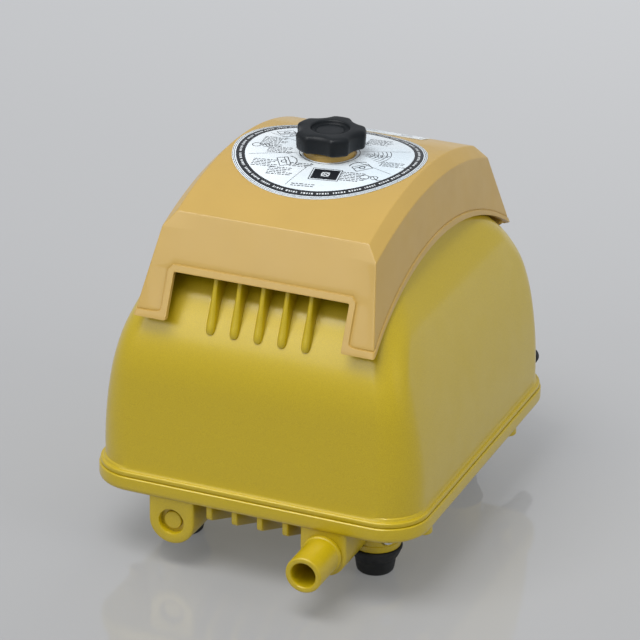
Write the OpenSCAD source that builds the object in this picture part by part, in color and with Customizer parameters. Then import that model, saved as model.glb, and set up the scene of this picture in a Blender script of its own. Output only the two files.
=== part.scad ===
/* [Casing] */
// overall width of the casing across the rim
rim_w = 168.5; // [150:0.5:190]
// overall depth of the casing across the rim
rim_d = 194; // [170:0.5:220]
// plan radius of the rim corners
rim_r = 22; // [10:1:30]
// height of the rim's underside above the floor
rim_z = 36; // [30:0.5:45]
// height of the tray's rim band
rim_h = 7; // [5:0.5:12]
// top of the housing dome
dome_top_z = 163; // [150:1:180]
// wall thickness of the housing
wall = 2.6; // [2:0.1:4]

/* [Cover] */
// half width of the cover's flat top
cover_top_hx = 48; // [40:1:60]
// half depth of the cover's arched top, to its crease
crease_y = 68; // [55:1:80]
// height of the crease
crease_z = 172; // [160:1:185]
// height of the arched top at its middle
cover_top_z = 184.5; // [175:0.5:200]
// half width and half depth at the ends of the cover's legs
leg_x = 60.3; // [50:0.1:70]
leg_y = 90; // [80:0.5:100]
// height of the ends of the legs
leg_z = 125.5; // [115:0.5:140]
// half width of the air openings in the two end panels
opening_hx = 44; // [30:1:50]
// top of the air openings
opening_z = 146.5; // [135:0.5:155]

/* [Knob] */
// lobe radius, valley radius and height of the star knob
knob_r = 17.2; // [12:0.1:25]
knob_valley_r = 14.6; // [10:0.1:20]
knob_h = 9.4; // [6:0.1:15]
// number of lobes
knob_lobes = 5; // [3:1:8]

/* [Air outlet and feet] */
// outside radius of the outlet nozzle, for 18 mm hose
nozzle_r = 9; // [6:0.5:15]
// bore radius of the outlet nozzle
nozzle_bore_r = 6; // [4:0.5:12]
// how far the nozzle stands out of the rim
nozzle_reach = 22; // [15:1:40]
// sideways place and height of the nozzle axis
port_x = 39; // [20:1:60]
port_z = 24.3; // [18:0.1:30]
// foot places, from the middle
foot_x = 50; // [30:1:70]
foot_y = 56; // [40:1:80]
// height of a rubber foot
foot_h = 14; // [8:1:20]

/* [Motor] */
// height of the armature axis
axis_z = 96; // [90:1:105]
// diaphragm radius
diaphragm_r = 25; // [20:1:30]

/* [Hidden] */
$fn = 48;
eps = 0.05;
gold = [0.71, 0.64, 0.17];
tan = [0.81, 0.69, 0.40];
black = [0.12, 0.12, 0.13];
steel = [0.75, 0.76, 0.78];
rubber = [0.16, 0.16, 0.17];
copper = [0.75, 0.42, 0.22];
white = [0.93, 0.95, 0.97];

rim_hx = rim_w / 2;
rim_hy = rim_d / 2;
seam_z = rim_z + rim_h;
gasket_h = 0.8;
flange_z = seam_z + gasket_h;
flange_top_z = rim_z + 10.3;
body_hx = rim_hx - 2.65;
body_hy = rim_hy - 2.6;
floor_t = 2.5;
floor_z = rim_z + floor_t;
tray_wall_in = 5.7;

dome_arch_z = 92;
dome_arch_pow = 2.2;
// how far the side walls tuck in so that they pass inside the cover
tuck = 5.2;
tuck_z = 126;
tuck_h = 22;
dome_levels = 18;
corner_steps = 6;

well_hx = 36;
well_hy = 34;
well_floor_z = 146;
filter_top_z = 156.5;
post_r = 7;
post_top_z = 178;
stud_r = 3;
running = 0.05;

cover_t = 2.6;
bevel_w = 5.6;
bevel_h = 5.8;
collar_r = 11.75;
collar_top_z = 187.6;
washer_h = 0.6;
knob_z = collar_top_z + washer_h;
label_r = 46.5;
label_t = 0.3;

boss_r = 12.2;
lug_r = 11.6;
port_front_y = -rim_hy + 1.5;
port_back_y = -68.6;
rib_front_z = 28.4;
rib_back_z = 19.5;
riser_x = port_x - 3;
riser_y = -82;
screw_x = 74.5;
screw_y = 58;
screw_boss_z = 26;

tank_hx = 44;
tank_hy = 72;
tank_z = floor_z + eps;
tank_lid_z = 54;
tank_top_z = 57;
hose_y = 66;
stub_r = 6;
stub_bore_r = 4;
hose_r = 9;

mount_x = 50;
mount_y = 38;
mount_z = 57;
bracket_z = 64;
bracket_t = 2.5;

core_x0 = 6.5;
core_x1 = 42;
core_hy = 30;
core_hz = 14;
leg_y0 = 18;
mid_leg_hy = 8;
yoke_t = 12;
bolt_x = 30;
bolt_y = 24;
magnet_y0 = 5;
magnet_y1 = 21;
coil_x0 = 9.5;
coil_x1 = 28;
coil_hy = 17;
coil_hz = 22;

plate_y = 44;
head_y0 = 48;
head_y1 = 72;
head_hx = 30;
head_hz = 28;
chamber_r = 20.5;
valve_plate_y = 58.5;
valve_plate_t = 2.5;
valve_dz = 12;
head_screw_xs = [-26, 26];
head_screw_dzs = [-24, 24];
head_gasket_t = 0.8;
head_cover_t = 3;
hub_r = 13;
rod_r = 4;

gland_x = 64.5;
gland_z = 41.6;
gland_r = 5;
cord_r = 3.5;
terminal_xs = [59, 65.5];
terminal_ys = [67, 75];

foot_places = [for (sx = [-1, 1], sy = [-1, 1]) [sx, sy]];
rib_xs = [-19.5, -6.5, 6.5, 19.5];
fin_xs = [for (i = [-2:2]) i * 12];
vent_xs = [-13, 0, 13];
slot_ys = [-27, -20, -13, 13, 20, 27];
foot_screw_a = 50;

function ease(t) = let (u = min(max(t, 0), 1)) u * u * (3 - 2 * u);
// half width, half depth and corner radii of the dome at height z
function dome_hx(z) = body_hx - 0.0024 * pow(max(z - 50, 0), 2) - tuck * ease((z - tuck_z) / tuck_h);
function dome_rise(z) = max(z - dome_arch_z, 0) / (dome_top_z - dome_arch_z);
function dome_hy(z) = (body_hy - 0.055 * (z - rim_z - 10))
    * sqrt(max(1 - pow(dome_rise(z), dome_arch_pow), 0.004));
function dome_rx(z) = rim_r - 0.1 * (z - rim_z);
function dome_ry(z) = min(dome_rx(z) * (1 + 0.9 * ease((z - 110) / 35)), dome_hy(z) - 0.5);
// heights of the dome's rings, closer together towards the top
function dome_level(i, z0, z1) = z0 + (z1 - z0) * sin(90 * i / dome_levels);
function rounded_ring(hx, hy, rx, ry, z) = [
    for (q = [0:3], i = [0:corner_steps])
        let (a = 90 * q + 90 * i / corner_steps, sx = (q == 0 || q == 3) ? 1 : -1, sy = q < 2 ? 1 : -1)
            [sx * (hx - rx) + rx * cos(a), sy * (hy - ry) + ry * sin(a), z]
];
function cover_arch_r() =
    let (rise = cover_top_z - crease_z) (pow(crease_y, 2) + pow(rise, 2)) / (2 * rise);
// arc in the YZ plane with its middle at height top and its ends at half depth hy
function arc_points(hy, top, ends, steps = 20) =
    let (h = top - ends, r = (hy * hy + h * h) / (2 * h), a = asin(hy / r))
        [for (i = [0:steps]) let (b = -a + 2 * a * i / steps) [r * sin(b), top - r + r * cos(b)]];

module both_x() { children(); mirror([1, 0, 0]) children(); }
module both_y() { children(); mirror([0, 1, 0]) children(); }
module at_corners(x, y) { for (p = foot_places) translate([p[0] * x, p[1] * y, 0]) children(); }
module rounded_rect(hx, hy, r) {
    square([2 * (hx - r), 2 * hy], center = true);
    square([2 * hx, 2 * (hy - r)], center = true);
    for (sx = [-1, 1], sy = [-1, 1]) translate([sx * (hx - r), sy * (hy - r)]) circle(r);
}
module slab(hx, hy, r, z0, z1) {
    translate([0, 0, z0]) linear_extrude(z1 - z0) rounded_rect(hx, hy, r);
}
module box(x0, x1, y0, y1, z0, z1) {
    translate([x0, y0, z0]) cube([x1 - x0, y1 - y0, z1 - z0]);
}
// cylinder along +Y from y0 to y1
module y_cyl(r, x, y0, y1, z) {
    translate([x, y0, z]) rotate([-90, 0, 0]) cylinder(r = r, h = y1 - y0);
}
module z_cyl(r, x, y, z0, z1) {
    translate([x, y, z0]) cylinder(r = r, h = z1 - z0);
}
// YZ outline extruded along X, centred on X = 0
module extrude_x(w, outline) {
    rotate([90, 0, 90]) linear_extrude(w, center = true) polygon(outline);
}
// solid through a stack of rings, each with the same number of points
module loft(rings) {
    n = len(rings[0]);
    m = len(rings);
    points = [for (ring = rings) for (p = ring) p];
    sides = [for (k = [0:m - 2], i = [0:n - 1]) let (j = (i + 1) % n, a = k * n, b = (k + 1) * n)
        each [[a + i, b + i, b + j], [a + i, b + j, a + j]]];
    bottom = [for (i = [0:n - 1]) i];
    top = [for (i = [n - 1:-1:0]) (m - 1) * n + i];
    polyhedron(points, concat(sides, [bottom, top]), convexity = 6);
}
module dome(inset, z0, top) {
    loft([for (i = [0:dome_levels])
        let (z = dome_level(i, z0, top - inset), u = z + inset * (z - z0) / (top - z0))
            rounded_ring(dome_hx(u) - inset, dome_hy(u) - inset, max(dome_rx(u) - inset, 1),
                max(dome_ry(u) - inset, 1), z)]);
}

module port_body(x) {
    y_cyl(lug_r, x, port_front_y, port_back_y, port_z);
    box(x - lug_r, x + lug_r, port_front_y, port_back_y, port_z, rim_z + 1);
}
// stiffening rib under the tray, deeper towards the back
module rib(x) {
    y0 = port_front_y + 0.5;
    y1 = y0 + 26;
    translate([x, 0, 0]) extrude_x(3, [
        [y0, rim_z + 1], [y0, rib_front_z + 2], [y0 + 0.7, rib_front_z + 0.6], [y0 + 1.8, rib_front_z],
        [y1 - 2, rib_back_z], [y1, rib_back_z], [y1 + 5, rim_z + 1]
    ]);
}
module foot_screw_axis(p) {
    translate([p[0] * foot_x, p[1] * foot_y, 22])
        rotate([0, 0, atan2(-p[1] * -cos(foot_screw_a), p[0] * sin(foot_screw_a))])
            rotate([0, 90, 0]) children();
}
module gland_hole() { y_cyl(gland_r, gland_x, rim_hy - 12, rim_hy + 5, gland_z); }

module base_tray() {
    color(gold) difference() {
        union() {
            difference() {
                slab(rim_hx, rim_hy, rim_r, rim_z, seam_z);
                slab(rim_hx - tray_wall_in, rim_hy - tray_wall_in, rim_r - tray_wall_in, floor_z, seam_z + 1);
            }
            at_corners(foot_x, foot_y) z_cyl(boss_r, 0, 0, foot_h, rim_z + 1);
            at_corners(screw_x, screw_y) z_cyl(4.5, 0, 0, screw_boss_z, rim_z + 1);
            at_corners(mount_x, mount_y) z_cyl(5, 0, 0, floor_z - 1, mount_z);
            both_x() port_body(port_x);
            for (x = rib_xs) rib(x);
        }
        at_corners(foot_x, foot_y) z_cyl(5, 0, 0, foot_h - 1, 26);
        at_corners(foot_x, foot_y) translate([0, 0, 17.6]) rotate_extrude()
            translate([boss_r - 0.3, 0]) square([1, 0.5]);
        at_corners(screw_x, screw_y) z_cyl(1.8, 0, 0, screw_boss_z - 1, floor_z + 1);
        at_corners(screw_x, screw_y) z_cyl(3.5, 0, 0, screw_boss_z - 1, 30);
        at_corners(mount_x, mount_y) z_cyl(2, 0, 0, 48, mount_z + 1);
        for (p = foot_places) foot_screw_axis(p) {
            z_cyl(4.1, 0, 0, 11.3, 20);
            z_cyl(1.5, 0, 0, 3, 12);
        }
        difference() {
            y_cyl(6.3, -port_x, port_front_y - 1, port_front_y + 3.5, port_z);
            y_cyl(4.5, -port_x, port_front_y + 2, port_front_y + 4, port_z);
        }
        y_cyl(8, port_x, port_front_y - 1, -88, port_z);
        y_cyl(nozzle_bore_r, port_x, -88.5, -76, port_z);
        z_cyl(4, riser_x, riser_y, port_z, 40);
        z_cyl(5.5, riser_x, riser_y, 33, 40);
        for (x = vent_xs) box(x - 4, x + 4, -89, -77, rim_z - 1, floor_z + 1);
        gland_hole();
    }
}

module outlet_nozzle() {
    color(gold) difference() {
        union() {
            y_cyl(8, port_x, port_front_y, -88, port_z);
            y_cyl(9.9, port_x, port_front_y - 2.2, port_front_y, port_z);
            y_cyl(nozzle_r, port_x, -rim_hy - nozzle_reach, port_front_y - 2, port_z);
        }
        y_cyl(nozzle_bore_r, port_x, -rim_hy - nozzle_reach - 1, -87, port_z);
    }
}

module foot(p) {
    color(rubber) difference() {
        translate([p[0] * foot_x, p[1] * foot_y, 0]) rotate_extrude() polygon([
            [0, 0], [7.8, 0], [8.8, 0.8], [9.2, 2], [10, 7.6], [11, 8.4], [12.6, 12], [12.9, 12.6],
            [12.9, foot_h], [5, foot_h], [5, 25.9], [0, 25.9]
        ]);
        foot_screw_axis(p) z_cyl(1.5, 0, 0, 3, 6);
    }
}

module foot_screws() {
    color(steel) for (p = foot_places) foot_screw_axis(p) difference() {
        union() {
            translate([0, 0, 11.3]) cylinder(r1 = 4, r2 = 3.2, h = 2);
            z_cyl(1.5, 0, 0, 3, 11.4);
        }
        for (a = [0, 90]) rotate([0, 0, a]) box(-2.4, 2.4, -0.5, 0.5, 12.3, 14);
    }
}

module base_screws() {
    color(steel) at_corners(screw_x, screw_y) {
        difference() {
            z_cyl(3.3, 0, 0, 27.6, 30);
            for (a = [0, 90]) rotate([0, 0, a]) box(-2, 2, -0.4, 0.4, 27, 28.6);
        }
        z_cyl(1.6, 0, 0, 30, 58);
    }
}

module casing_gasket() {
    color(rubber) difference() {
        slab(rim_hx - 1.8, rim_hy - 1.8, rim_r - 1.8, seam_z, flange_z);
        slab(rim_hx - tray_wall_in, rim_hy - tray_wall_in, rim_r - tray_wall_in, seam_z - 1, flange_z + 1);
        gland_hole();
    }
}

module fin(x) {
    translate([x, 0, 0]) extrude_x(2.6, [[-83.6, 121], [-76.6, 146], [-75.5, 150], [-45, 150], [-60, 121]]);
}
module housing() {
    color(gold) difference() {
        union() {
            slab(rim_hx - 0.6, rim_hy - 0.6, rim_r - 0.6, flange_z, flange_top_z);
            dome(0, flange_top_z - 0.5, dome_top_z);
            both_y() for (x = fin_xs) fin(x);
        }
        difference() {
            dome(wall, flange_z - 1, dome_top_z);
            box(-well_hx - 2, well_hx + 2, -well_hy - 2, well_hy + 2, well_floor_z - 2, dome_top_z + 1);
            at_corners(screw_x, screw_y) z_cyl(4.6, 0, 0, flange_z, 64);
        }
        difference() {
            box(-well_hx, well_hx, -well_hy, well_hy, well_floor_z, dome_top_z + 1);
            z_cyl(post_r, 0, 0, well_floor_z - 1, dome_top_z + 2);
        }
        for (y = slot_ys) box(-28, 28, y - 2, y + 2, well_floor_z - 3, well_floor_z + 1);
        at_corners(screw_x, screw_y) z_cyl(1.6, 0, 0, flange_z - 1, 58);
        z_cyl(stud_r, 0, 0, 150, dome_top_z + 1);
        gland_hole();
    }
    color(gold) difference() {
        z_cyl(post_r, 0, 0, dome_top_z - 1, post_top_z);
        z_cyl(stud_r, 0, 0, 150, post_top_z + 1);
    }
}

module knob_stud() { color(steel) z_cyl(stud_r, 0, 0, 150, 194); }

module cover_solid(t, drop) {
    slope = (leg_x - cover_top_hx - bevel_w) / (crease_z - bevel_h - 1.2 - leg_z);
    lower_x = leg_x + slope * drop - t;
    lower_y = leg_y + drop * (leg_y - crease_y) / (crease_z - leg_z) - t;
    hull() {
        extrude_x(2 * (cover_top_hx - 0.4 * t), concat(
            arc_points(crease_y - 0.6 * t, cover_top_z - t, crease_z - 0.9 * t),
            [[crease_y - t, crease_z - 10], [t - crease_y, crease_z - 10]]
        ));
        extrude_x(2 * (cover_top_hx + bevel_w - t), concat(
            arc_points(crease_y + 5 - t, cover_top_z - bevel_h - 0.4 * t, crease_z - bevel_h - 1.2 - 0.4 * t),
            [[crease_y - t, crease_z - 20], [t - crease_y, crease_z - 20]]
        ));
        box(-lower_x, lower_x, -lower_y, lower_y, leg_z - drop, leg_z - drop + 0.3);
    }
}
module side_arch(rise) {
    arch_h = 26.1;
    r = (pow(leg_y, 2) + pow(arch_h, 2)) / (2 * arch_h);
    translate([-100, 0, leg_z + arch_h - r]) rotate([0, 90, 0]) cylinder(r = r + rise, h = 200, $fn = 96);
}
module end_opening(grow) {
    both_y() translate([0, 0, leg_z - 10]) linear_extrude(opening_z + grow - leg_z + 10)
        translate([-opening_hx - grow, -leg_y - 10]) square([2 * (opening_hx + grow), 30]);
}
module top_cover() {
    rib_w = 3.6;
    color(tan) difference() {
        union() {
            cover_solid(0, 0);
            intersection() {
                cover_solid(-0.7, 0);
                union() {
                    side_arch(rib_w);
                    end_opening(rib_w);
                    box(-80, 80, -100, 100, leg_z, leg_z + rib_w);
                }
            }
            z_cyl(collar_r, 0, 0, cover_top_z - 3, collar_top_z);
        }
        difference() {
            cover_solid(cover_t, 6);
            z_cyl(9.5, 0, 0, post_top_z, cover_top_z);
        }
        side_arch(0);
        end_opening(0);
        z_cyl(stud_r + 0.4, 0, 0, post_top_z - 1, collar_top_z + 1);
    }
}

module arched_sheet(lift) {
    r = cover_arch_r();
    translate([-80, 0, cover_top_z - r]) rotate([0, 90, 0]) difference() {
        cylinder(r = r + lift + label_t, h = 160, $fn = 200);
        translate([0, 0, -1]) cylinder(r = r + lift, h = 162, $fn = 200);
    }
}
module round_label() {
    color(white) intersection() {
        arched_sheet(0.03);
        difference() {
            z_cyl(label_r, 0, 0, crease_z - 5, cover_top_z + 5);
            z_cyl(collar_r + 1.2, 0, 0, crease_z - 6, cover_top_z + 6);
        }
    }
}
module rear_label() {
    color(white) intersection() {
        arched_sheet(0.03);
        translate([0, 57, crease_z - 5]) linear_extrude(20) rounded_rect(27, 6.5, 2);
    }
}

module knob_washer() {
    color(steel) difference() {
        z_cyl(8.5, 0, 0, collar_top_z, knob_z);
        z_cyl(stud_r + 0.3, 0, 0, collar_top_z - 1, knob_z + 1);
    }
}
module knob() {
    scallop_r = 12;
    color(black) difference() {
        translate([0, 0, knob_z]) rotate_extrude() polygon([
            [0, 0], [knob_r - 1, 0], [knob_r - 0.2, 0.6], [knob_r, 1.6], [knob_r, knob_h - 2.2],
            [knob_r - 0.5, knob_h - 0.9], [knob_r - 1.8, knob_h], [9.3, knob_h], [9, knob_h - 2],
            [6.9, knob_h - 2], [6.6, knob_h - 1.5], [0, knob_h - 1.5]
        ]);
        for (i = [0:knob_lobes - 1]) rotate([0, 0, 56 + 360 * i / knob_lobes])
            z_cyl(scallop_r, knob_valley_r + scallop_r, 0, knob_z - 1, knob_z + knob_h + 1);
        z_cyl(5, 0, 0, knob_z - 1, knob_z + 6.5);
    }
}
module knob_insert() {
    color([0.80, 0.65, 0.30]) difference() {
        z_cyl(5, 0, 0, knob_z, knob_z + 6.5);
        z_cyl(stud_r + running, 0, 0, knob_z - 1, knob_z + 6);
    }
}

module air_filter() {
    color([0.25, 0.26, 0.28]) difference() {
        box(0.6 - well_hx, well_hx - 0.6, 0.6 - well_hy, well_hy - 0.6, well_floor_z + 0.1, filter_top_z);
        z_cyl(post_r + 0.5, 0, 0, well_floor_z - 1, 158);
    }
}
module filter_frame() {
    frame_z = filter_top_z + 2;
    color(black) difference() {
        union() {
            difference() {
                box(0.6 - well_hx, well_hx - 0.6, 0.6 - well_hy, well_hy - 0.6, filter_top_z, frame_z);
                box(5 - well_hx, well_hx - 5, 5 - well_hy, well_hy - 5, filter_top_z - 1, frame_z + 1);
            }
            for (a = [0, 90]) rotate([0, 0, a])
                box(-well_hy + 3, well_hy - 3, -1.5, 1.5, filter_top_z, frame_z);
            z_cyl(post_r + 3.5, 0, 0, filter_top_z, frame_z);
        }
        z_cyl(post_r + 0.5, 0, 0, filter_top_z - 1, frame_z + 1);
    }
}

module air_tank() {
    color([0.30, 0.31, 0.33]) difference() {
        slab(tank_hx, tank_hy, 4, tank_z, tank_lid_z);
        slab(tank_hx - 2.5, tank_hy - 2.5, 1.5, tank_z + 2.5, tank_lid_z + 1);
        y_cyl(5.5, riser_x, -tank_hy - 1, -tank_hy + 4, 47);
    }
}
module tank_lid() {
    color([0.36, 0.37, 0.39]) difference() {
        union() {
            slab(tank_hx, tank_hy, 4, tank_lid_z + 0.6, tank_top_z);
            both_y() z_cyl(stub_r, 0, hose_y, tank_top_z - 1, 61.2);
        }
        both_y() z_cyl(stub_bore_r, 0, hose_y, tank_lid_z - 1, 62);
    }
}
module tank_gasket() {
    color(rubber) difference() {
        slab(tank_hx, tank_hy, 4, tank_lid_z, tank_lid_z + 0.6);
        slab(tank_hx - 2.5, tank_hy - 2.5, 1.5, tank_lid_z - 1, tank_lid_z + 1);
    }
}
// rubber elbow from the tank's front wall down into the tray's riser
module outlet_elbow() {
    bend = 8;
    color(rubber) {
        translate([riser_x, riser_y + bend, 39]) rotate([90, 0, -90]) rotate_extrude(angle = 90)
            translate([bend, 0]) tube_section();
        translate([riser_x, riser_y, 33]) linear_extrude(6) tube_section();
        translate([riser_x, riser_y + bend, 39 + bend]) rotate([-90, 0, 0])
            linear_extrude(-tank_hy + 2.5 - riser_y - bend) tube_section();
    }
}
module tube_section() {
    difference() {
        circle(5.5);
        circle(3.6);
    }
}

module vibration_mounts() {
    color(rubber) at_corners(mount_x, mount_y) translate([0, 0, mount_z]) rotate_extrude() polygon([
        [2, 0], [7, 0], [7, 2], [5.4, 2.8], [5.4, 4.2], [7, 5], [7, 7], [2, 7]
    ]);
}
module mount_screws() {
    color(steel) at_corners(mount_x, mount_y) {
        z_cyl(2, 0, 0, 48, bracket_z + bracket_t);
        difference() {
            z_cyl(3.6, 0, 0, bracket_z + bracket_t, bracket_z + bracket_t + 2.4);
            for (a = [0, 90]) rotate([0, 0, a])
                box(-2.2, 2.2, -0.5, 0.5, bracket_z + bracket_t + 1.2, bracket_z + bracket_t + 3);
        }
    }
}
module motor_bracket() {
    color([0.72, 0.74, 0.76]) difference() {
        union() {
            slab(57, plate_y, 4, bracket_z, bracket_z + bracket_t);
            both_y() box(-head_hx, head_hx, plate_y - 3, plate_y, bracket_z, axis_z + head_hz);
            at_corners(bolt_x, bolt_y) z_cyl(4, 0, 0, bracket_z, axis_z - core_hz);
        }
        y_cyl(19, 0, -plate_y - 1, plate_y + 1, axis_z);
        at_corners(mount_x, mount_y) z_cyl(2, 0, 0, bracket_z - 1, bracket_z + bracket_t + 1);
        at_corners(bolt_x, bolt_y) z_cyl(2, 0, 0, 70, axis_z);
        both_y() head_screw_holes();
    }
}
module core() {
    color([0.45, 0.46, 0.48]) difference() {
        box(core_x0, core_x1, -core_hy, core_hy, axis_z - core_hz, axis_z + core_hz);
        both_y() box(core_x0 - 1, core_x1 - yoke_t, mid_leg_hy, leg_y0, axis_z - 20, axis_z + 20);
        both_y() z_cyl(2, bolt_x, bolt_y, axis_z - 20, axis_z + 20);
    }
}
module bobbin() {
    color(white) difference() {
        union() {
            box(coil_x0 - 1.4, coil_x1 + 1.4, -9.2, 9.2, axis_z - 15.2, axis_z + 15.2);
            for (x = [coil_x0 - 1.4, coil_x1])
                box(x, x + 1.4, -coil_hy - 0.5, coil_hy + 0.5, axis_z - coil_hz - 0.5, axis_z + coil_hz + 0.5);
        }
        box(0, 50, -mid_leg_hy, mid_leg_hy, axis_z - core_hz, axis_z + core_hz);
    }
}
module coil() {
    color(copper) difference() {
        translate([coil_x0, 0, axis_z]) rotate([90, 0, 90]) linear_extrude(coil_x1 - coil_x0)
            rounded_rect(coil_hy, coil_hz, 4);
        box(0, 50, -9.2, 9.2, axis_z - 15.2, axis_z + 15.2);
    }
}
module core_bolts() {
    color(steel) at_corners(bolt_x, bolt_y) {
        z_cyl(2, 0, 0, 70, axis_z + core_hz);
        translate([0, 0, axis_z + core_hz]) cylinder(r = 3.8, h = 3, $fn = 6);
    }
}

module armature() {
    color([0.80, 0.81, 0.83]) difference() {
        union() {
            box(-4, 4, -36, 36, axis_z - 12, axis_z + 12);
            y_cyl(rod_r, 0, -55, 55, axis_z);
        }
        both_y() box(-6, 6, magnet_y0, magnet_y1, axis_z - 10, axis_z + 10);
    }
}
module armature_magnets() {
    color([0.35, 0.36, 0.38]) both_y() box(-4, 4, magnet_y0, magnet_y1, axis_z - 10, axis_z + 10);
}
module hub_plates() {
    color(steel) both_y() {
        difference() {
            y_cyl(hub_r, 0, 44.6, 46, axis_z);
            y_cyl(rod_r, 0, 44, 47, axis_z);
        }
        difference() {
            y_cyl(hub_r, 0, 48, 49.4, axis_z);
            y_cyl(rod_r, 0, 47, 50, axis_z);
        }
    }
}
module hub_nuts() {
    color([0.70, 0.71, 0.72]) both_y() difference() {
        translate([0, 49.4, axis_z]) rotate([-90, 0, 0]) cylinder(r = 7, h = 4, $fn = 6);
        y_cyl(rod_r, 0, 49, 54, axis_z);
    }
}
module diaphragm() {
    color(rubber) translate([0, 46, axis_z]) rotate([-90, 0, 0]) rotate_extrude() difference() {
        union() {
            translate([rod_r + running, 0]) square([diaphragm_r - rod_r - running, 2]);
            translate([16.5, 0]) circle(3.5);
        }
        translate([16.5, 0]) circle(1.5);
        translate([0, -5]) square([30, 5]);
    }
}
module head_screw_holes() {
    for (x = head_screw_xs, dz = head_screw_dzs) y_cyl(1.7, x, 40, 80, axis_z + dz);
}
module diaphragm_seat() {
    color([0.85, 0.85, 0.82]) difference() {
        box(-head_hx, head_hx, plate_y, head_y0, axis_z - head_hz, axis_z + head_hz);
        y_cyl(19, 0, plate_y - 1, 47, axis_z);
        y_cyl(diaphragm_r, 0, 46, head_y0 + 1, axis_z);
        head_screw_holes();
    }
}
module pump_head() {
    back_y = valve_plate_y + valve_plate_t;
    color([0.88, 0.88, 0.85]) difference() {
        union() {
            box(-head_hx, head_hx, head_y0, head_y1, axis_z - head_hz, axis_z + head_hz);
            z_cyl(stub_r, 0, hose_y, 62, axis_z - head_hz + 1);
        }
        y_cyl(chamber_r, 0, head_y0 - 1, valve_plate_y, axis_z);
        box(-22, 22, back_y, head_y1 + 1, axis_z + 2, axis_z + 21);
        box(-22, 22, back_y, head_y1 + 1, axis_z - 21, axis_z - 2);
        for (dz = [-valve_dz, valve_dz]) {
            y_cyl(1.5, 0, head_y0, head_y1, axis_z + dz);
            for (a = [0:60:300]) y_cyl(1.4, 4.6 * cos(a), head_y0, head_y1, axis_z + dz + 4.6 * sin(a));
        }
        z_cyl(stub_bore_r, 0, hose_y, 60, axis_z - 20);
        z_cyl(5, 0, hose_y, axis_z + 20, axis_z + head_hz + 1);
        head_screw_holes();
    }
}
module umbrella_valves() {
    color([0.55, 0.22, 0.16]) both_y() {
        y_cyl(7, 0, valve_plate_y - 1, valve_plate_y, axis_z + valve_dz);
        y_cyl(1.5, 0, valve_plate_y - 0.5, valve_plate_y + valve_plate_t + 1.5, axis_z + valve_dz);
        y_cyl(7, 0, valve_plate_y + valve_plate_t, valve_plate_y + valve_plate_t + 1, axis_z - valve_dz);
        y_cyl(1.5, 0, valve_plate_y - 1.5, valve_plate_y + valve_plate_t + 0.5, axis_z - valve_dz);
    }
}
module head_gasket() {
    color(rubber) difference() {
        box(-head_hx, head_hx, head_y1, head_y1 + head_gasket_t, axis_z - head_hz, axis_z + head_hz);
        for (s = [-1, 1]) translate([0, 0, axis_z + s * 11.5]) box(-22, 22, head_y1 - 1, head_y1 + 2, -9.5, 9.5);
        head_screw_holes();
    }
}
module head_cover() {
    y0 = head_y1 + head_gasket_t;
    y1 = y0 + head_cover_t;
    color([0.80, 0.80, 0.77]) difference() {
        union() {
            box(-head_hx, head_hx, y0, y1, axis_z - head_hz, axis_z + head_hz);
            for (x = [-12, 0, 12]) box(x - 0.8, x + 0.8, y1 - 0.8, y1 + 1.6, axis_z - 20, axis_z + 20);
        }
        head_screw_holes();
    }
}
module head_screws() {
    color(steel) both_y() for (x = head_screw_xs, dz = head_screw_dzs) {
        y_cyl(1.6, x, plate_y - 3, head_y1 + 3.9, axis_z + dz);
        difference() {
            y_cyl(3.2, x, head_y1 + 3.8, head_y1 + 6, axis_z + dz);
            for (a = [0, 90]) translate([x, 0, axis_z + dz]) rotate([0, a, 0])
                box(-2, 2, head_y1 + 5, head_y1 + 7, -0.4, 0.4);
        }
    }
}
module head_hose() {
    color(rubber) difference() {
        z_cyl(hose_r, 0, hose_y, 57.6, 67.6);
        z_cyl(stub_r, 0, hose_y, 57, 68);
    }
}
module hose_clamps() {
    color(steel) both_y() for (z = [58.4, 63.9]) difference() {
        union() {
            z_cyl(hose_r + 0.7, 0, hose_y, z, z + 2.6);
            box(hose_r - 1, hose_r + 3.6, hose_y - 2, hose_y + 2, z, z + 2.6);
        }
        z_cyl(hose_r, 0, hose_y, z - 1, z + 4);
    }
}

module terminal_block() {
    color([0.90, 0.90, 0.86]) difference() {
        box(55, 69.5, 63, 80, floor_z, 50);
        for (x = terminal_xs, y = terminal_ys) z_cyl(2, x, y, 44, 51);
    }
}
module terminal_screws() {
    color([0.80, 0.65, 0.30]) for (x = terminal_xs, y = terminal_ys) difference() {
        z_cyl(2, x, y, 44, 48.5);
        box(x - 2.5, x + 2.5, y - 0.4, y + 0.4, 47.7, 49);
    }
}
module mains_lead() { color(black) y_cyl(3, gland_x, 80, rim_hy - 7, gland_z); }
module cable_gland() {
    color(rubber) difference() {
        union() {
            y_cyl(gland_r, gland_x, rim_hy - 7, rim_hy + 1, gland_z);
            y_cyl(7, gland_x, rim_hy, rim_hy + 2, gland_z);
            translate([gland_x, rim_hy + 1.9, gland_z]) rotate([-90, 0, 0])
                cylinder(r1 = 5.6, r2 = 4.6, h = nozzle_reach - 1.9);
        }
        y_cyl(cord_r, gland_x, rim_hy - 8, rim_hy + nozzle_reach + 1, gland_z);
        for (i = [0:3]) translate([gland_x, rim_hy + 5 + 4 * i, gland_z]) rotate([-90, 0, 0])
            rotate_extrude() translate([4.4, 0]) square([3, 1.4]);
    }
}
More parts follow.
